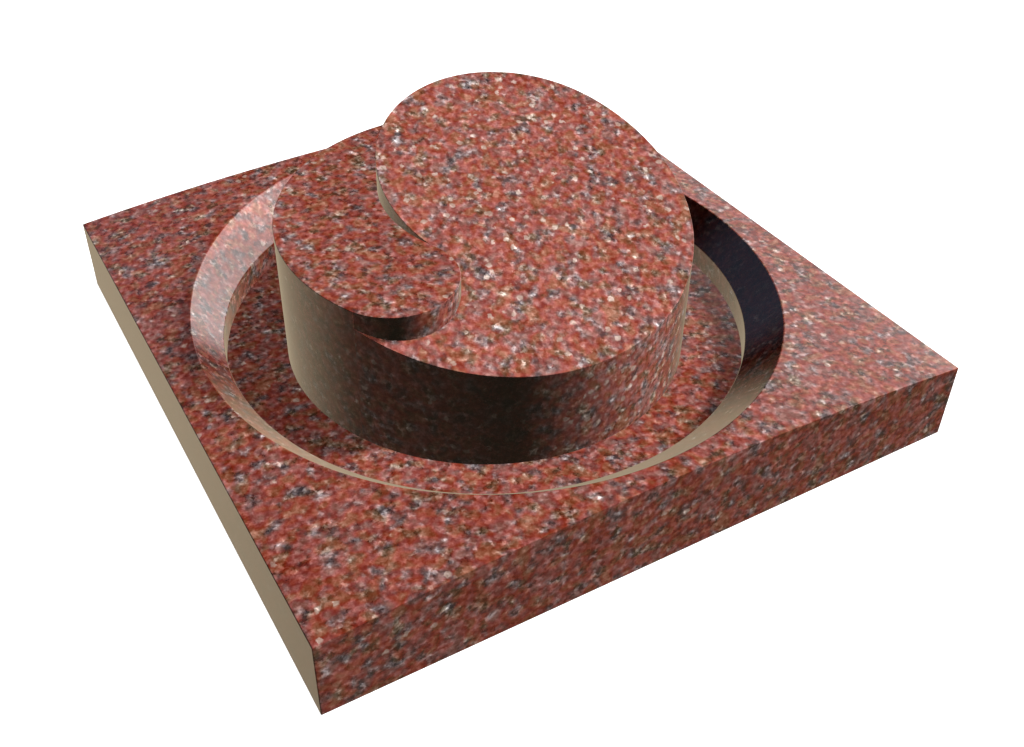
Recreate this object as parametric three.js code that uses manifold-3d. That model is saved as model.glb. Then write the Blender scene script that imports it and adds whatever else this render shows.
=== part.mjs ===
import * as THREE from 'three';
import { mergeVertices } from 'three/addons/utils/BufferGeometryUtils.js';
import Module from 'manifold-3d';

// Cremation memorial in polished red granite: a square plinth with a cambered top and a
// round bevelled recess, and in the recess a drum made of two interlocking comma stones.
// Millimetres, +Z up. The origin is the centre of the plinth's underside, and the front is -Y.

// Plinth: the top arches along X only, so the front and back edges are bowed
// and the left and right edges are level.
const PLINTH_SIDE = 400;
const PLINTH_EDGE_HEIGHT = 50;
const PLINTH_CAMBER = 10;
const CAMBER_SEGMENTS = 16;

// Recess: a flat floor, a short upright wall, and a cone that opens out to the cambered top.
const RECESS_RADIUS = 162.5;
const RECESS_FLOOR_HEIGHT = 20;
const RECESS_WALL_TOP_HEIGHT = 35;
const BEVEL_ANGLE = THREE.MathUtils.degToRad(45);
const RECESS_CUT_HEIGHT = 70;
const RECESS_SEGMENTS = 160;

// Drum: two comma stones on one diameter, the S line, which splits into a small head
// and a large head. The level stone has the small head in front, the sloping stone the large one.
const DRUM_RADIUS = 125;
const SMALL_HEAD_RADIUS = 37.5;
const LARGE_HEAD_RADIUS = DRUM_RADIUS - SMALL_HEAD_RADIUS;
const S_LINE_ANGLE = THREE.MathUtils.degToRad(25.5);
const ARC_SEGMENTS = 36;

// Tops: one stone is cut level, the other slopes down from the back to the front.
const LEVEL_TOP_HEIGHT = 110;
const SLOPE_FRONT_HEIGHT = 80;
const SLOPE_BACK_HEIGHT = 150;

// Fitting of the two stones: the width of the joint, and the blunt end of each tail.
const JOINT_WIDTH = 0.3;
const TAIL_END_WIDTH = 1.2;

// Finish of the polished stone.
const PLINTH_COLOUR = 0xa24b41;
const LEVEL_STONE_COLOUR = 0x9d463d;
const SLOPING_STONE_COLOUR = 0xbb6252;
const POLISH_ROUGHNESS = 0.18;

const HALF_TURN = Math.PI;
const FULL_TURN = 2 * Math.PI;

const wasm = await Module();
wasm.setup();

function granite(colour) {
  return new THREE.MeshStandardMaterial({ color: colour, roughness: POLISH_ROUGHNESS, metalness: 0 });
}

// Geometry classes split vertices at seams and sharp edges, so they are merged by position first.
function toSolid(geometry) {
  geometry.deleteAttribute('normal');
  geometry.deleteAttribute('uv');
  const merged = mergeVertices(geometry);
  const mesh = new wasm.Mesh({
    numProp: 3,
    vertProperties: new Float32Array(merged.attributes.position.array),
    triVerts: new Uint32Array(merged.index.array),
  });
  return new wasm.Manifold(mesh);
}

function toGeometry(solid) {
  const mesh = solid.getMesh();
  const geometry = new THREE.BufferGeometry();
  geometry.setAttribute('position', new THREE.BufferAttribute(mesh.vertProperties, 3));
  geometry.setIndex(new THREE.BufferAttribute(mesh.triVerts, 1));
  const faceted = geometry.toNonIndexed();
  faceted.computeVertexNormals();
  return faceted;
}

// The plinth's front face, drawn upright and drawn out along Y.
function plinthBlock() {
  const half = PLINTH_SIDE / 2;
  const camberRadius = (half * half + PLINTH_CAMBER * PLINTH_CAMBER) / (2 * PLINTH_CAMBER);
  const camberCentre = PLINTH_EDGE_HEIGHT + PLINTH_CAMBER - camberRadius;
  const halfSweep = Math.asin(half / camberRadius);
  const upright = HALF_TURN / 2;
  const face = new THREE.Shape();
  face.moveTo(-half, 0);
  face.lineTo(half, 0);
  face.lineTo(half, PLINTH_EDGE_HEIGHT);
  face.absarc(0, camberCentre, camberRadius, upright - halfSweep, upright + halfSweep, false);
  face.closePath();
  const block = new THREE.ExtrudeGeometry(face, {
    depth: PLINTH_SIDE,
    bevelEnabled: false,
    curveSegments: CAMBER_SEGMENTS,
  });
  block.translate(0, 0, -half);
  block.rotateX(HALF_TURN / 2);
  return block;
}

// The stone taken out of the plinth, turned on the drum's axis and carried above the crown.
function recessCore() {
  const bevelRun = (RECESS_CUT_HEIGHT - RECESS_WALL_TOP_HEIGHT) / Math.tan(BEVEL_ANGLE);
  const profile = [
    new THREE.Vector2(0, RECESS_FLOOR_HEIGHT),
    new THREE.Vector2(RECESS_RADIUS, RECESS_FLOOR_HEIGHT),
    new THREE.Vector2(RECESS_RADIUS, RECESS_WALL_TOP_HEIGHT),
    new THREE.Vector2(RECESS_RADIUS + bevelRun, RECESS_CUT_HEIGHT),
    new THREE.Vector2(0, RECESS_CUT_HEIGHT),
  ];
  const core = new THREE.LatheGeometry(profile, RECESS_SEGMENTS);
  core.rotateX(HALF_TURN / 2);
  return core;
}

function plinth() {
  const solid = toSolid(plinthBlock()).subtract(toSolid(recessCore()));
  const mesh = new THREE.Mesh(toGeometry(solid), granite(PLINTH_COLOUR));
  mesh.name = 'plinth';
  return mesh;
}

// Where a tail between the drum's circle and a head's circle has narrowed to its blunt end:
// the end's angle at the drum's centre, and at the head's centre, both from the S line.
function tailEnd(headDistance, headRadius) {
  const inner = DRUM_RADIUS - TAIL_END_WIDTH;
  const cosine = (inner ** 2 + headDistance ** 2 - headRadius ** 2) / (2 * inner * headDistance);
  const atDrum = Math.acos(cosine);
  const atHead = Math.atan2(inner * Math.sin(atDrum), inner * cosine - headDistance);
  return { atDrum, atHead };
}

// Head centres on the S line, which lies along X while an outline is drawn.
const SMALL_HEAD_X = SMALL_HEAD_RADIUS - DRUM_RADIUS;
const LARGE_HEAD_X = DRUM_RADIUS - LARGE_HEAD_RADIUS;
const LEVEL_TAIL = tailEnd(LARGE_HEAD_X, LARGE_HEAD_RADIUS);

// The level stone: round the drum's back, round the small head, and back along the large head.
function levelOutline() {
  const outline = new THREE.Shape();
  outline.absarc(0, 0, DRUM_RADIUS, LEVEL_TAIL.atDrum, HALF_TURN, false);
  outline.absarc(SMALL_HEAD_X, 0, SMALL_HEAD_RADIUS, HALF_TURN, FULL_TURN, false);
  outline.absarc(LARGE_HEAD_X, 0, LARGE_HEAD_RADIUS, HALF_TURN, LEVEL_TAIL.atHead, true);
  outline.closePath();
  return outline;
}

// The sloping stone fills the rest of the drum, a joint's width clear of the level stone.
function slopingOutline() {
  const hollow = SMALL_HEAD_RADIUS + JOINT_WIDTH;
  const head = LARGE_HEAD_RADIUS - JOINT_WIDTH;
  const tail = tailEnd(-SMALL_HEAD_X, hollow);
  const shoulder = LEVEL_TAIL.atDrum - JOINT_WIDTH / DRUM_RADIUS;
  const shoulderAtHead = LEVEL_TAIL.atHead - JOINT_WIDTH / head;
  const outline = new THREE.Shape();
  outline.absarc(0, 0, DRUM_RADIUS, HALF_TURN + tail.atDrum, FULL_TURN + shoulder, false);
  outline.absarc(LARGE_HEAD_X, 0, head, shoulderAtHead, HALF_TURN, false);
  outline.absarc(SMALL_HEAD_X, 0, hollow, FULL_TURN, HALF_TURN + tail.atHead, true);
  outline.closePath();
  return outline;
}

// A comma stone stands on the recess floor, and its top follows topHeight along Y.
function commaStone(name, outline, colour, topHeight) {
  const stone = new THREE.ExtrudeGeometry(outline, {
    depth: LEVEL_TOP_HEIGHT - RECESS_FLOOR_HEIGHT,
    bevelEnabled: false,
    curveSegments: ARC_SEGMENTS,
  });
  stone.translate(0, 0, RECESS_FLOOR_HEIGHT);
  stone.rotateZ(S_LINE_ANGLE);
  const corner = stone.attributes.position;
  for (let i = 0; i < corner.count; i += 1) {
    if (corner.getZ(i) > RECESS_FLOOR_HEIGHT) {
      corner.setZ(i, topHeight(corner.getY(i)));
    }
  }
  stone.computeVertexNormals();
  const mesh = new THREE.Mesh(stone, granite(colour));
  mesh.name = name;
  return mesh;
}

function levelTop() {
  return LEVEL_TOP_HEIGHT;
}

function slopingTop(y) {
  const rise = (SLOPE_BACK_HEIGHT - SLOPE_FRONT_HEIGHT) / (2 * DRUM_RADIUS);
  return (SLOPE_BACK_HEIGHT + SLOPE_FRONT_HEIGHT) / 2 + rise * y;
}

const memorial = new THREE.Group();
memorial.add(plinth());
memorial.add(commaStone('level_comma_stone', levelOutline(), LEVEL_STONE_COLOUR, levelTop));
memorial.add(commaStone('sloping_comma_stone', slopingOutline(), SLOPING_STONE_COLOUR, slopingTop));

export default memorial;
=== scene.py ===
"""Cremation memorial in polished red granite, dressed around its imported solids.

A square plinth with a cambered top and a round bevelled recess carries a drum of two comma
stones. The level stone has the small head, and the sloping stone has the large one.
Metres, +Z up, front towards -Y, origin at the centre of the plinth's underside.
"""

from math import cos, pi, radians, sin, sqrt

import bpy
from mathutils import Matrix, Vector


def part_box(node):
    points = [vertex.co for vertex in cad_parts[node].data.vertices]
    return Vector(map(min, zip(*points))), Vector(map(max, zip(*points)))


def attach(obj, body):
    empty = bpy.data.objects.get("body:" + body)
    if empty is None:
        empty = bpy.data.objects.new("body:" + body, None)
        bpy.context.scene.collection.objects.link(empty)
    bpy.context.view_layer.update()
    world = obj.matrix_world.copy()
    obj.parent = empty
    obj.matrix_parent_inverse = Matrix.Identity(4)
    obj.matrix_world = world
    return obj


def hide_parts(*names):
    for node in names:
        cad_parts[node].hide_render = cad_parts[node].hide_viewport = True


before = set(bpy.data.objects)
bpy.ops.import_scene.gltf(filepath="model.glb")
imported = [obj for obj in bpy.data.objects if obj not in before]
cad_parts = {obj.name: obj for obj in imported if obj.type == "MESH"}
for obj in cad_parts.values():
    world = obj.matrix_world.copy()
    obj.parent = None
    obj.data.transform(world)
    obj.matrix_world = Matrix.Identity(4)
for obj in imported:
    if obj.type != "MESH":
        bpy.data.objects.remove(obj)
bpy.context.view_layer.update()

MM = 0.001
MM_PER_METRE = 1000.0

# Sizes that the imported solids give.
PLINTH_LOW, PLINTH_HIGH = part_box("plinth")
LEVEL_LOW, LEVEL_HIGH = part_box("level_comma_stone")
HALF_SIDE = PLINTH_HIGH.x
CROWN_HEIGHT = PLINTH_HIGH.z
RECESS_FLOOR = LEVEL_LOW.z
LEVEL_TOP = LEVEL_HIGH.z

# Plinth: the top arches along X, and the recess has an upright wall under a 45 degree cone.
CAMBER = 10 * MM
CAMBER_RADIUS = (HALF_SIDE ** 2 + CAMBER ** 2) / (2 * CAMBER)
RECESS_RADIUS = 162.5 * MM
RECESS_WALL_TOP = 35 * MM
PLINTH_COLUMNS = 480
TOP_ROWS = 6
MOUTH_ROUNDS = 40
PLINTH_ARRIS = 0.6 * MM

# Drum: two heads on one diameter, the S line. A tail's arris tapers off towards its tip, and
# an edge within the margin of the drum's radius counts as its rim.
DRUM_RADIUS = 125 * MM
SMALL_HEAD = 37.5 * MM
LARGE_HEAD = DRUM_RADIUS - SMALL_HEAD
S_LINE_ANGLE = radians(25.5)
SLOPE_FRONT = 80 * MM
SLOPE_BACK = 150 * MM
TAIL_END_WIDTH = 0.1 * MM
TAIL_TAPER = 20 * MM
ARC_POINTS = 160
COMMA_ARRIS = 0.3 * MM
RIM_MARGIN = 0.05 * MM
WELD_DISTANCE = 0.002 * MM

# Edges of all stones.
ARRIS_SEGMENTS = 3
SHARP_ANGLE = radians(30)

# Camera: where the photograph was taken from, as fitted to the slab, the circles and the S line.
IMAGE_WIDTH = 1024
FOCAL_PIXELS = 1167.12
SENSOR_WIDTH = 36
CAMERA_PLACE = (-0.2923, -0.5177, 0.4752)
CAMERA_PITCH = radians(-37.751)
CAMERA_BEARING = radians(60.755)
CAMERA_SHIFT = (0.0303, -0.0382)


# Nodes

def add(tree, kind, inputs=None, **settings):
    """A node of that kind, with its settings, and its inputs set to values or linked to sockets."""
    node = tree.nodes.new(kind)
    for name, value in settings.items():
        setattr(node, name, value)
    for key, value in (inputs or {}).items():
        socket = node.inputs[key]
        if isinstance(value, bpy.types.NodeSocket):
            tree.links.new(value, socket)
        else:
            socket.default_value = value
    return node


def add_sockets(tree, side, sockets):
    """Named inputs or outputs of a node group."""
    for name, kind in sockets:
        tree.interface.new_socket(name, in_out=side, socket_type=kind)


class Sums:
    """Arithmetic on the sockets of one node tree."""

    def __init__(self, tree):
        self.tree = tree

    def math(self, operation, first, second=0.0):
        return add(self.tree, "ShaderNodeMath", {0: first, 1: second}, operation=operation).outputs[0]

    def plus(self, first, second):
        return self.math("ADD", first, second)

    def minus(self, first, second):
        return self.math("SUBTRACT", first, second)

    def times(self, first, second):
        return self.math("MULTIPLY", first, second)

    def over(self, first, second):
        return self.math("DIVIDE", first, second)

    def square(self, value):
        return self.math("MULTIPLY", value, value)

    def smooth_step(self, value, start, end):
        return add(self.tree, "ShaderNodeMapRange", {
            "Value": value, "From Min": start, "From Max": end,
        }, interpolation_type="SMOOTHSTEP").outputs[0]

    def point(self, x, y, z=0.0):
        return add(self.tree, "ShaderNodeCombineXYZ", {"X": x, "Y": y, "Z": z}).outputs[0]

    def on_circle(self, centre_x, radius, angle):
        x = self.plus(centre_x, self.times(radius, self.math("COSINE", angle)))
        return self.point(x, self.times(radius, self.math("SINE", angle)))

    def vector(self, operation, first, second):
        inputs = {0: first, 1: second}
        return add(self.tree, "ShaderNodeVectorMath", inputs, operation=operation).outputs["Vector"]

    def measure(self, operation, first, second):
        inputs = {0: first, 1: second}
        return add(self.tree, "ShaderNodeVectorMath", inputs, operation=operation).outputs["Value"]

    def scaled(self, vector, share):
        inputs = {0: vector, "Scale": share}
        return add(self.tree, "ShaderNodeVectorMath", inputs, operation="SCALE").outputs["Vector"]


# Sockets of a Mix node that are in use when it mixes colours.
MIX_SHARE, MIX_FIRST, MIX_SECOND, MIX_RESULT = 0, 6, 7, 2


def blend(tree, share, first, second):
    """Second colour laid over the first by that share."""
    inputs = {MIX_SHARE: share, MIX_FIRST: first, MIX_SECOND: second}
    return add(tree, "ShaderNodeMix", inputs, data_type="RGBA").outputs[MIX_RESULT]


# Pieces

def new_piece(name, mesh):
    piece = bpy.data.objects.new(name, mesh)
    bpy.context.scene.collection.objects.link(piece)
    return piece


def work_in_modifiers(piece):
    """Gives the piece a plain mesh with its modifiers worked in."""
    graph = bpy.context.evaluated_depsgraph_get()
    mesh = bpy.data.meshes.new_from_object(piece.evaluated_get(graph), depsgraph=graph)
    piece.modifiers.clear()
    piece.data = mesh


def ease_arrises(piece, width):
    """Rounds the marked edges and keeps the broad faces flat up to them."""
    bevel = piece.modifiers.new("ground_arris", "BEVEL")
    bevel.limit_method = "WEIGHT"
    bevel.width = width
    bevel.segments = ARRIS_SEGMENTS
    bevel.use_clamp_overlap = False
    bevel.harden_normals = True


def finish_stone(piece, arris, material):
    """Smooths the round faces, grinds the arrises and gives the stone its granite."""
    piece.data.shade_smooth()
    piece.data.set_sharp_from_angle(angle=SHARP_ANGLE)
    ease_arrises(piece, arris)
    work_in_modifiers(piece)
    piece.data.name = piece.name
    piece.data.materials.clear()
    piece.data.materials.append(material)


# Plinth

def camber_height(x):
    """Height of the plinth's arched top above the underside."""
    return CROWN_HEIGHT - CAMBER_RADIUS + sqrt(CAMBER_RADIUS ** 2 - x ** 2)


def mouth_radius(turn):
    """Where the 45 degree cone of the recess meets the arched top, found by rounds that close in."""
    radius = RECESS_RADIUS
    for _ in range(MOUTH_ROUNDS):
        radius = RECESS_RADIUS + camber_height(radius * cos(turn)) - RECESS_WALL_TOP
    return radius


def plinth_column(turn):
    """One upright slice of the plinth, from the recess floor over the top to the underside."""
    across, along = cos(turn), sin(turn)
    edge = HALF_SIDE / max(abs(across), abs(along))
    mouth = mouth_radius(turn)
    column = [
        (RECESS_RADIUS, RECESS_FLOOR),
        (RECESS_RADIUS, RECESS_WALL_TOP),
    ]
    for row in range(TOP_ROWS + 1):
        reach = mouth + (edge - mouth) * row / TOP_ROWS
        column.append((reach, camber_height(reach * across)))
    column.append((edge, PLINTH_LOW.z))
    return [(reach * across, reach * along, height) for reach, height in column]


def plinth_faces(rows, floor_centre, underside_centre):
    """Quads between neighbouring columns, and fans that close the recess floor and the underside."""
    faces = []
    foot = rows - 1
    for column in range(PLINTH_COLUMNS):
        here = column * rows
        there = (column + 1) % PLINTH_COLUMNS * rows
        for row in range(rows - 1):
            faces.append((here + row, here + row + 1, there + row + 1, there + row))
        faces.append((floor_centre, here, there))
        faces.append((underside_centre, there + foot, here + foot))
    return faces


def plinth_mesh():
    """The plinth as a closed ring of columns, with its arrises marked."""
    points = []
    for column in range(PLINTH_COLUMNS):
        points += plinth_column(2 * pi * column / PLINTH_COLUMNS)
    rows = len(points) // PLINTH_COLUMNS
    floor_centre = len(points)
    underside_centre = floor_centre + 1
    points.append((0, 0, RECESS_FLOOR))
    points.append((0, 0, PLINTH_LOW.z))
    mesh = bpy.data.meshes.new("plinth_stone")
    mesh.from_pydata(points, [], plinth_faces(rows, floor_centre, underside_centre))
    mark_plinth_arrises(mesh, rows)
    return mesh


def mark_plinth_arrises(mesh, rows):
    """Every outer edge of the plinth gets a ground arris; the mark is a bevel weight."""
    wall_top, mouth, top_edge, foot = 1, 2, rows - 2, rows - 1
    ring_rows = {wall_top, mouth, top_edge, foot}
    eighth_turn = PLINTH_COLUMNS // 8
    weights = mesh.attributes.new("bevel_weight_edge", "FLOAT", "EDGE")
    for edge in mesh.edges:
        first, second = sorted(edge.vertices)
        if second >= rows * PLINTH_COLUMNS:
            continue
        along_ring = first % rows == second % rows and first % rows in ring_rows
        column = first // rows
        upright = column == second // rows and first % rows == top_edge
        at_corner = upright and column % eighth_turn == 0 and column // eighth_turn % 2 == 1
        if along_ring or at_corner:
            weights.data[edge.index].value = 1


def make_plinth(material):
    piece = new_piece("plinth_stone", plinth_mesh())
    finish_stone(piece, PLINTH_ARRIS, material)
    return piece


# Comma stones

# The Next heights belong to the top of the other stone, which may stand above this one.
STONE_SIZES = (
    ("Drum Radius", "NodeSocketFloat"),
    ("Head Radius", "NodeSocketFloat"),
    ("Hollow Radius", "NodeSocketFloat"),
    ("Tail End Width", "NodeSocketFloat"),
    ("Tail Taper", "NodeSocketFloat"),
    ("S Line Angle", "NodeSocketFloat"),
    ("Floor Height", "NodeSocketFloat"),
    ("Front Height", "NodeSocketFloat"),
    ("Back Height", "NodeSocketFloat"),
    ("Next Front Height", "NodeSocketFloat"),
    ("Next Back Height", "NodeSocketFloat"),
    ("Arc Points", "NodeSocketInt"),
    ("Material", "NodeSocketMaterial"),
)


def tail_end(sums, inner, distance, radius):
    """Angles at the drum's centre and at a head's centre where a tail has thinned to its end."""
    reach = sums.plus(sums.square(inner), sums.square(distance))
    twice = sums.times(2.0, sums.times(inner, distance))
    cosine = sums.over(sums.minus(reach, sums.square(radius)), twice)
    at_drum = sums.math("ARCCOSINE", cosine)
    rise = sums.times(inner, sums.math("SINE", at_drum))
    run = sums.minus(sums.times(inner, cosine), distance)
    return at_drum, sums.math("ARCTAN2", rise, run)


def arc(sums, points, centre_x, radius, start, end):
    """Edges along an arc whose centre lies on the S line."""
    curve = add(sums.tree, "GeometryNodeCurveArc", {
        "Resolution": points, "Radius": radius,
        "Start Angle": start, "Sweep Angle": sums.minus(end, start),
    }, mode="RADIUS").outputs["Curve"]
    moved = add(sums.tree, "GeometryNodeTransform", {
        "Geometry": curve, "Translation": sums.point(centre_x, 0.0),
    }).outputs[0]
    return add(sums.tree, "GeometryNodeCurveToMesh", {"Curve": moved}).outputs[0]


def line(sums, start, end):
    """One straight edge."""
    inputs = {"Start": start, "End": end}
    curve = add(sums.tree, "GeometryNodeCurvePrimitiveLine", inputs).outputs[0]
    return add(sums.tree, "GeometryNodeCurveToMesh", {"Curve": curve}).outputs[0]


def welded(tree, parts):
    """Parts joined into one, with the points that lie on each other merged."""
    join = add(tree, "GeometryNodeJoinGeometry")
    for part in parts:
        tree.links.new(part, join.inputs[0])
    return add(tree, "GeometryNodeMergeByDistance", {
        "Geometry": join.outputs[0], "Distance": WELD_DISTANCE,
    }).outputs[0]


def comma_face(sums, size):
    """A flat comma with its S line along X, and the tip of its tail."""
    tree = sums.tree
    drum, head, hollow = size["Drum Radius"], size["Head Radius"], size["Hollow Radius"]
    points = size["Arc Points"]
    inner = sums.minus(drum, size["Tail End Width"])
    head_x = sums.minus(head, drum)
    hollow_x = sums.minus(drum, hollow)
    tail_at_drum, tail_at_hollow = tail_end(sums, inner, hollow_x, hollow)
    next_at_drum, next_at_head = tail_end(sums, inner, sums.minus(drum, head), head)
    shoulder = sums.plus(pi, next_at_drum)
    head_start = sums.plus(pi, next_at_head)
    tip = sums.on_circle(0.0, drum, tail_at_drum)
    outline = welded(tree, (
        arc(sums, points, 0.0, drum, tail_at_drum, shoulder),
        arc(sums, points, head_x, head, head_start, 2 * pi),
        arc(sums, points, hollow_x, hollow, tail_at_hollow, pi),
        line(sums, tip, sums.on_circle(0.0, inner, tail_at_drum)),
        line(sums, sums.on_circle(0.0, drum, shoulder), sums.on_circle(head_x, head, head_start)),
    ))
    loop = add(tree, "GeometryNodeMeshToCurve", {"Mesh": outline}).outputs[0]
    face = add(tree, "GeometryNodeFillCurve", {"Curve": loop}, mode="NGONS").outputs[0]
    return face, tip


def store(tree, domain, inputs):
    """Keeps a value on the geometry under a name."""
    kind = "GeometryNodeStoreNamedAttribute"
    return add(tree, kind, inputs, data_type="FLOAT", domain=domain).outputs[0]


def tapered_arris(sums, size, face, tip, place):
    """Stores how much of the full arris each point gets: less and less towards the tail's tip."""
    reach = sums.measure("DISTANCE", place, tip)
    fullness = sums.math("MINIMUM", 1.0, sums.over(reach, size["Tail Taper"]))
    return store(sums.tree, "POINT", {
        "Geometry": face, "Name": "arris_share", "Value": sums.square(fullness),
    })


def marked_arris(sums, size, cut, top_faces, spot, own_top, next_top):
    """Marks the top edges for an arris, where they lie on the drum's rim or stand free."""
    arris_share = add(sums.tree, "GeometryNodeInputNamedAttribute", {
        "Name": "arris_share",
    }, data_type="FLOAT").outputs["Attribute"]
    from_axis = sums.math("SQRT", sums.plus(sums.square(spot["X"]), sums.square(spot["Y"])))
    on_rim = sums.math("GREATER_THAN", from_axis, sums.minus(size["Drum Radius"], RIM_MARGIN))
    stands_free = sums.math("GREATER_THAN", own_top, next_top)
    open_edge = sums.math("MAXIMUM", on_rim, stands_free)
    return store(sums.tree, "EDGE", {
        "Geometry": cut, "Selection": top_faces,
        "Name": "bevel_weight_edge", "Value": sums.times(arris_share, open_edge),
    })


def comma_tree():
    """Geometry tree that draws a comma from arcs and raises it to its level or sloping top."""
    tree = bpy.data.node_groups.new("comma_stone", "GeometryNodeTree")
    add_sockets(tree, "INPUT", STONE_SIZES)
    add_sockets(tree, "OUTPUT", (("Geometry", "NodeSocketGeometry"),))
    size = add(tree, "NodeGroupInput").outputs
    sums = Sums(tree)
    place = add(tree, "GeometryNodeInputPosition").outputs[0]
    face, tip = comma_face(sums, size)
    foot = add(tree, "GeometryNodeTransform", {
        "Geometry": tapered_arris(sums, size, face, tip, place),
        "Rotation": sums.point(0.0, 0.0, size["S Line Angle"]),
        "Translation": sums.point(0.0, 0.0, size["Floor Height"]),
    }).outputs[0]
    raised = add(tree, "GeometryNodeExtrudeMesh", {
        "Mesh": foot, "Offset Scale": sums.minus(size["Back Height"], size["Floor Height"]),
        "Offset": (0.0, 0.0, 1.0), "Individual": False,
    }, mode="FACES").outputs

    spot = add(tree, "ShaderNodeSeparateXYZ", {0: place}).outputs
    backwards = sums.plus(0.5, sums.over(spot["Y"], sums.times(2.0, size["Drum Radius"])))

    def top_height(front, back):
        return sums.plus(front, sums.times(sums.minus(back, front), backwards))

    own_top = top_height(size["Front Height"], size["Back Height"])
    next_top = top_height(size["Next Front Height"], size["Next Back Height"])
    cut = add(tree, "GeometryNodeSetPosition", {
        "Geometry": raised["Mesh"], "Selection": raised["Top"],
        "Position": sums.point(spot["X"], spot["Y"], own_top),
    }).outputs[0]
    marked = marked_arris(sums, size, cut, raised["Top"], spot, own_top, next_top)
    underside = add(tree, "GeometryNodeFlipFaces", {"Mesh": foot}).outputs[0]
    solid = welded(tree, (underside, marked))
    real = add(tree, "GeometryNodeRealizeInstances", {"Geometry": solid}).outputs[0]
    dressed = add(tree, "GeometryNodeSetMaterial", {
        "Geometry": real, "Material": size["Material"],
    }).outputs[0]
    add(tree, "NodeGroupOutput", {"Geometry": dressed})
    return tree


def make_comma_stone(name, tree, sizes):
    piece = new_piece(name, bpy.data.meshes.new(name))
    modifier = piece.modifiers.new("comma_stone", "NODES")
    modifier.node_group = tree
    for item in tree.interface.items_tree:
        if item.in_out == "INPUT":
            modifier[item.identifier] = sizes[item.name]
    work_in_modifiers(piece)
    finish_stone(piece, COMMA_ARRIS, sizes["Material"])
    return piece


# Granite

def paint(red, green, blue):
    """A colour as it shows on a screen; the granite group turns it into linear light at its end."""
    return (red / 255, green / 255, blue / 255, 1.0)


BRICK_RED = paint(150, 70, 55)
ROSE = paint(146, 74, 68)
RUST = paint(143, 84, 62)
DUSKY_PINK = paint(136, 88, 79)
OLIVE_GREY = paint(112, 92, 76)
BLUE_GREY = paint(102, 92, 94)
CREAM = paint(196, 172, 158)
DARKEST = (0.06, 0.05, 0.06)
SCREEN_GAMMA = 2.2

# Feldspar and quartz drift into each other, and smoky stretches of quartz show more contrast.
FELDSPAR_STOPS = ((0.34, RUST), (0.45, BRICK_RED), (0.55, ROSE), (0.68, DUSKY_PINK))
QUARTZ_STOPS = ((0.40, OLIVE_GREY), (0.60, BLUE_GREY))
DRIFT_OFFSET = (71.0, 13.0, 37.0)
SMOKE_RANGE = (0.42, 0.74)
PLAIN_CONTRAST = 0.85
SMOKE_CONTRAST = 1.1
MIDDLE = 0.5

# Ragged outlines of the grains: waves for each millimetre, and how far they push a grain.
RAGGED_SCALE = 0.5
RAGGED_REACH = 3.0

# Noise detail: broad patches, clouds, and fine grain.
BROAD, CLOUDY, FINE = 1.0, 2.0, 3.0

# Pale grains: from their rim to their middle, and how strongly they cover.
PALE_EDGE = (0.65, 0.35)
PALE_COVER = 0.8

# How much each kind of grain lightens or darkens the stone, on the screen's scale.
CRYSTAL_LIGHT = 0.12
SPECKLE_LIGHT = 0.72
SPECKLE_SCALE = 0.75
BRIGHT_GRAIN_BOOST = 1.6
CLOUD_LIGHT = 0.16
CLOUD_SCALE = 0.05

# Dark grains are mica, which takes a little less polish and lies a little lower.
MICA_RANGE = (-0.10, -0.22)
POLISHED = 0.06
MICA_ROUGHNESS = 0.10
PIT_STRENGTH = 0.04
PIT_DEPTH = 0.05 * MM

# The polish is a clear coat over the stone.
COAT = {"Coat Weight": 1.0, "Coat Roughness": 0.03, "Coat IOR": 2.0}

# The stones throw little light on each other.
BOUNCE_COLOUR = (0.02, 0.016, 0.014, 1.0)

# Grain sizes in millimetres, and each stone's share of pale grains and lift in brightness.
GRAIN = {"Feldspar Size": 8.0, "Grain Size": 2.6, "Pale Size": 4.0}
PLINTH_GRAIN = {**GRAIN, "Pale Share": 0.01, "Lift": 0.02}
LEVEL_GRAIN = {**GRAIN, "Pale Share": 0.01, "Lift": 0.035}
SLOPING_GRAIN = {**GRAIN, "Pale Share": 0.06, "Lift": 0.07}

# Where each stone was cut from the block, in millimetres, and how it lay there.
PLINTH_CUT = ((31.0, 7.0, 113.0), (0.2, 0.1, 0.4))
LEVEL_CUT = ((-57.0, 83.0, 19.0), (0.5, -0.3, 1.2))
SLOPING_CUT = ((149.0, -61.0, 41.0), (-0.4, 0.6, 2.3))


def ramp(tree, share, stops):
    """Colours along a value from 0 to 1."""
    node = add(tree, "ShaderNodeValToRGB", {"Fac": share})
    marks = node.color_ramp.elements
    while len(marks) < len(stops):
        marks.new(1.0)
    for mark, (place, colour) in zip(marks, stops):
        mark.position = place
        mark.color = colour
    return node.outputs["Color"]


def noise(tree, place, scale, detail):
    inputs = {"Vector": place, "Scale": scale, "Detail": detail}
    return add(tree, "ShaderNodeTexNoise", inputs).outputs


def crystals(tree, place, scale):
    """Crystals of one size: a random draw for each, and the distance from its middle."""
    node = add(tree, "ShaderNodeTexVoronoi", {"Vector": place, "Scale": scale})
    draw = add(tree, "ShaderNodeSeparateColor", {0: node.outputs["Color"]}).outputs["Red"]
    return draw, node.outputs["Distance"]


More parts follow.
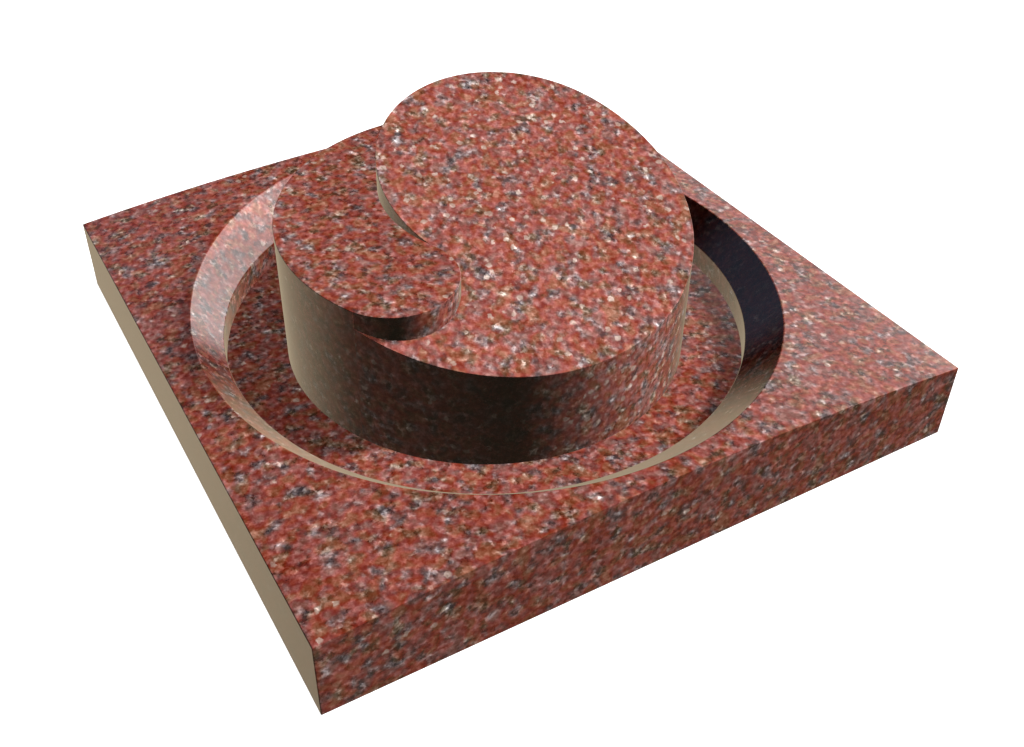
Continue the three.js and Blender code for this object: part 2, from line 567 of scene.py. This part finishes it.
def granite_ground(sums, given, ragged):
    """Feldspar with drifts of smoky quartz and single pale grains, and where the drifts lie."""
    tree, place = sums.tree, given["Vector"]
    scale = sums.over(1.0, given["Feldspar Size"])
    feldspar = ramp(tree, noise(tree, place, scale, BROAD)["Fac"], FELDSPAR_STOPS)
    quartz = ramp(tree, noise(tree, ragged, scale, BROAD)["Fac"], QUARTZ_STOPS)
    aside = sums.vector("ADD", place, DRIFT_OFFSET)
    smoke = sums.smooth_step(noise(tree, aside, scale, FINE)["Fac"], *SMOKE_RANGE)
    red_ground = blend(tree, smoke, feldspar, quartz)
    draw, middle = crystals(tree, ragged, sums.over(1.0, given["Pale Size"]))
    picked = sums.math("LESS_THAN", draw, given["Pale Share"])
    pale = sums.times(picked, sums.smooth_step(middle, *PALE_EDGE))
    return blend(tree, sums.times(PALE_COVER, pale), red_ground, CREAM), smoke


def granite_grain(sums, given, ragged, smoke):
    """How much lighter or darker than the ground each grain is."""
    scale = sums.over(1.0, given["Grain Size"])
    draw, _ = crystals(sums.tree, ragged, scale)
    speckle = noise(sums.tree, ragged, sums.times(SPECKLE_SCALE, scale), FINE)["Fac"]
    light = sums.plus(
        sums.times(CRYSTAL_LIGHT, sums.minus(draw, MIDDLE)),
        sums.times(SPECKLE_LIGHT, sums.minus(speckle, MIDDLE)),
    )
    return sums.times(light, sums.plus(PLAIN_CONTRAST, sums.times(SMOKE_CONTRAST, smoke)))


def granite_group():
    """Red granite in millimetres: feldspar, with quartz, mica and pale grains set into it."""
    tree = bpy.data.node_groups.new("red_granite", "ShaderNodeTree")
    add_sockets(tree, "INPUT", (
        ("Vector", "NodeSocketVector"),
        ("Feldspar Size", "NodeSocketFloat"),
        ("Grain Size", "NodeSocketFloat"),
        ("Pale Size", "NodeSocketFloat"),
        ("Pale Share", "NodeSocketFloat"),
        ("Lift", "NodeSocketFloat"),
    ))
    add_sockets(tree, "OUTPUT", (
        ("Color", "NodeSocketColor"),
        ("Roughness", "NodeSocketFloat"),
        ("Height", "NodeSocketFloat"),
    ))
    given = add(tree, "NodeGroupInput").outputs
    sums = Sums(tree)
    place = given["Vector"]
    waves = noise(tree, place, RAGGED_SCALE, FINE)["Color"]
    push = sums.scaled(sums.vector("SUBTRACT", waves, (MIDDLE, MIDDLE, MIDDLE)), RAGGED_REACH)
    ragged = sums.vector("ADD", place, push)
    ground, smoke = granite_ground(sums, given, ragged)
    grain = granite_grain(sums, given, ragged, smoke)

    uneven = sums.plus(grain, sums.times(BRIGHT_GRAIN_BOOST, sums.square(grain)))
    cloud = sums.minus(noise(tree, place, CLOUD_SCALE, CLOUDY)["Fac"], MIDDLE)
    shade = sums.plus(sums.plus(sums.times(CLOUD_LIGHT, cloud), given["Lift"]), uneven)
    lit = sums.vector("ADD", ground, sums.point(shade, shade, shade))
    shown = sums.vector("MAXIMUM", lit, DARKEST)
    colour = add(tree, "ShaderNodeGamma", {"Color": shown, "Gamma": SCREEN_GAMMA}).outputs[0]
    mica = sums.smooth_step(grain, *MICA_RANGE)
    add(tree, "NodeGroupOutput", {
        "Color": colour,
        "Roughness": sums.plus(POLISHED, sums.times(MICA_ROUGHNESS, mica)),
        "Height": sums.minus(1.0, mica),
    })
    return tree


def granite_material(name, group, cut, grain):
    """One stone's granite, with its own place in the block and its own grain."""
    material = bpy.data.materials.new(name)
    material.use_nodes = True
    tree = material.node_tree
    offset, turn = cut
    quarry = add(tree, "ShaderNodeMapping", {
        "Vector": add(tree, "ShaderNodeTexCoord").outputs["Object"],
        "Location": offset, "Rotation": turn, "Scale": (MM_PER_METRE, MM_PER_METRE, MM_PER_METRE),
    }).outputs[0]
    stone = add(tree, "ShaderNodeGroup", node_tree=group)
    tree.links.new(quarry, stone.inputs["Vector"])
    for label, value in grain.items():
        stone.inputs[label].default_value = value
    pits = add(tree, "ShaderNodeBump", {
        "Height": stone.outputs["Height"], "Strength": PIT_STRENGTH, "Distance": PIT_DEPTH,
    }).outputs[0]
    bounced = add(tree, "ShaderNodeLightPath").outputs["Is Diffuse Ray"]
    colour = blend(tree, bounced, stone.outputs["Color"], BOUNCE_COLOUR)
    shader = tree.nodes["Principled BSDF"]
    tree.links.new(colour, shader.inputs["Base Color"])
    tree.links.new(stone.outputs["Roughness"], shader.inputs["Roughness"])
    tree.links.new(pits, shader.inputs["Normal"])
    for label, value in COAT.items():
        shader.inputs[label].default_value = value
    return material


# Stage

WHITE = (1.0, 1.0, 1.0, 1.0)
FLOOR_REACH = 12.0
FLOOR_PAINT = {
    "Base Color": (0.8, 0.8, 0.8, 1.0),
    "Roughness": 1.0,
    "Specular IOR Level": 0.0,
    "Emission Color": WHITE,
    "Emission Strength": 0.8,
}

# Surroundings that the polish mirrors. The ground is warm, dim in front and brighter behind:
# its colour behind, its share of that in front, and where in a direction it sets in and brightens.
GROUND_COLOUR = (0.42, 0.34, 0.23)
GROUND_FRONT_SHARE = 0.13
GROUND_BEGINS = (-0.05, -0.35)
GROUND_BRIGHTENS = (0.05, 0.85)
# Soft boxes: azimuth and elevation, half angles of the bright middle and of the soft rim, colour.
PALE_BOX = ((40, 25), (4, 16), (0.4, 0.4, 0.4))
COOL_BOX = ((104, 16), (10, 32), (0.07, 0.08, 0.12))
# A long strip light on the right, which the left side of the bevel mirrors: the directions of its
# ends, the half angles of its bright middle and soft rim, and how far it reaches either way.
STRIP_ENDS = ((-25, 43), (38, 2))
STRIP_WIDTH = (4, 16)
STRIP_REACH = (24, 44)
STRIP_COLOUR = (1.35, 1.33, 1.31)
# Suns that only light the stone: azimuth and elevation, strength, width, whether it throws shadows.
KEY_SUN = ((-15, 41), 3.4, 14, True)
FILL_SUN = ((-5, 40), 2.0, 3, False)
LOW_SUN = ((-20, 5), 1.2, 3, False)
FRONT_SUN = ((-85, -30), 0.6, 10, True)
LEFT_SUN = ((155, -45), 0.6, 3, False)


def make_camera():
    data = bpy.data.cameras.new("photograph")
    data.sensor_fit = "HORIZONTAL"
    data.sensor_width = SENSOR_WIDTH
    data.lens = FOCAL_PIXELS / IMAGE_WIDTH * SENSOR_WIDTH
    data.shift_x, data.shift_y = CAMERA_SHIFT
    camera = bpy.data.objects.new("photograph", data)
    camera.location = CAMERA_PLACE
    camera.rotation_euler = (pi / 2 + CAMERA_PITCH, 0, CAMERA_BEARING - pi / 2)
    bpy.context.scene.collection.objects.link(camera)
    bpy.context.scene.camera = camera


def make_floor():
    """A plain white floor that shows in the picture and throws no light back on the stone."""
    far = FLOOR_REACH
    corners = [(-far, -far, 0), (far, -far, 0), (far, far, 0), (-far, far, 0)]
    mesh = bpy.data.meshes.new("studio_floor")
    mesh.from_pydata(corners, [], [(0, 1, 2, 3)])
    floor = new_piece("studio_floor", mesh)
    material = bpy.data.materials.new("studio_floor")
    material.use_nodes = True
    shader = material.node_tree.nodes["Principled BSDF"]
    for label, value in FLOOR_PAINT.items():
        shader.inputs[label].default_value = value
    mesh.materials.append(material)
    floor.visible_diffuse = False
    floor.visible_glossy = False
    floor.visible_shadow = False


def towards(azimuth, elevation):
    """Unit vector in that direction; azimuth turns from +X to +Y."""
    turn, rise = radians(azimuth), radians(elevation)
    return Vector((cos(turn) * cos(rise), sin(turn) * cos(rise), sin(rise)))


def soft_box(sums, direction, place, extent, colour):
    """A bright round patch with a soft rim, far away in that direction."""
    facing = sums.measure("DOT_PRODUCT", direction, towards(*place))
    inner, outer = (cos(radians(angle)) for angle in extent)
    return sums.scaled(colour, sums.smooth_step(facing, outer, inner))


def warm_ground(sums, direction):
    """Ground far away: nothing above the horizon, and brighter towards the back."""
    way = add(sums.tree, "ShaderNodeSeparateXYZ", {0: direction}).outputs
    below = sums.smooth_step(way["Z"], *GROUND_BEGINS)
    behind = sums.smooth_step(way["Y"], *GROUND_BRIGHTENS)
    brightness = sums.plus(GROUND_FRONT_SHARE, sums.times(1 - GROUND_FRONT_SHARE, behind))
    return sums.scaled(GROUND_COLOUR, sums.times(below, brightness))


def strip_light(sums, direction):
    """A soft band between two directions, far away."""
    start, end = (towards(*place) for place in STRIP_ENDS)
    aside = sums.measure("DOT_PRODUCT", direction, start.cross(end).normalized())
    along = sums.measure("DOT_PRODUCT", direction, (start + end).normalized())
    inner, outer = (sin(radians(angle)) for angle in STRIP_WIDTH)
    near, far = (cos(radians(angle)) for angle in STRIP_REACH)
    within = sums.smooth_step(sums.math("ABSOLUTE", aside), outer, inner)
    return sums.scaled(STRIP_COLOUR, sums.times(within, sums.smooth_step(along, far, near)))


def make_surroundings():
    """What the polish mirrors; the camera itself sees plain white."""
    world = bpy.data.worlds.new("studio")
    bpy.context.scene.world = world
    world.use_nodes = True
    tree = world.node_tree
    sums = Sums(tree)
    direction = add(tree, "ShaderNodeTexCoord").outputs["Generated"]
    glow = warm_ground(sums, direction)
    for light in (
        strip_light(sums, direction),
        soft_box(sums, direction, *PALE_BOX),
        soft_box(sums, direction, *COOL_BOX),
    ):
        glow = sums.vector("ADD", glow, light)
    seen = add(tree, "ShaderNodeLightPath").outputs["Is Camera Ray"]
    tree.links.new(blend(tree, seen, glow, WHITE), tree.nodes["Background"].inputs["Color"])


def make_suns():
    for place, strength, width, shadow in (KEY_SUN, FILL_SUN, LOW_SUN, FRONT_SUN, LEFT_SUN):
        sun = bpy.data.lights.new("sun", "SUN")
        sun.energy = strength
        sun.angle = radians(width)
        sun.use_shadow = shadow
        lamp = bpy.data.objects.new("sun", sun)
        lamp.rotation_euler = towards(*place).to_track_quat("Z", "Y").to_euler()
        lamp.visible_glossy = False
        bpy.context.scene.collection.objects.link(lamp)


make_camera()
make_floor()
make_surroundings()
make_suns()
bpy.context.scene.view_settings.view_transform = "Standard"

granite = granite_group()
plinth_granite = granite_material("plinth_granite", granite, PLINTH_CUT, PLINTH_GRAIN)
level_granite = granite_material("level_stone_granite", granite, LEVEL_CUT, LEVEL_GRAIN)
sloping_granite = granite_material("sloping_stone_granite", granite, SLOPING_CUT, SLOPING_GRAIN)

plinth = make_plinth(plinth_granite)
stone_tree = comma_tree()
drum_sizes = {
    "Drum Radius": DRUM_RADIUS,
    "Tail End Width": TAIL_END_WIDTH,
    "Tail Taper": TAIL_TAPER,
    "Floor Height": RECESS_FLOOR,
    "Arc Points": ARC_POINTS,
}
level_stone = make_comma_stone("level_comma_granite", stone_tree, {
    **drum_sizes,
    "Head Radius": SMALL_HEAD, "Hollow Radius": LARGE_HEAD,
    "S Line Angle": S_LINE_ANGLE, "Front Height": LEVEL_TOP, "Back Height": LEVEL_TOP,
    "Next Front Height": SLOPE_FRONT, "Next Back Height": SLOPE_BACK,
    "Material": level_granite,
})
sloping_stone = make_comma_stone("sloping_comma_granite", stone_tree, {
    **drum_sizes,
    "Head Radius": LARGE_HEAD, "Hollow Radius": SMALL_HEAD,
    "S Line Angle": S_LINE_ANGLE + pi, "Front Height": SLOPE_FRONT, "Back Height": SLOPE_BACK,
    "Next Front Height": LEVEL_TOP, "Next Back Height": LEVEL_TOP,
    "Material": sloping_granite,
})

# As in the photograph, the stones don't mirror each other, and the sloping one throws no shadow.
for piece, node, finish in (
    (plinth, "plinth", "plinth_granite"),
    (level_stone, "level_comma_stone", "level_stone_granite"),
    (sloping_stone, "sloping_comma_stone", "sloping_stone_granite"),
):
    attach(piece, "root")
    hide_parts(node)
    piece.visible_glossy = False
sloping_stone.visible_shadow = False
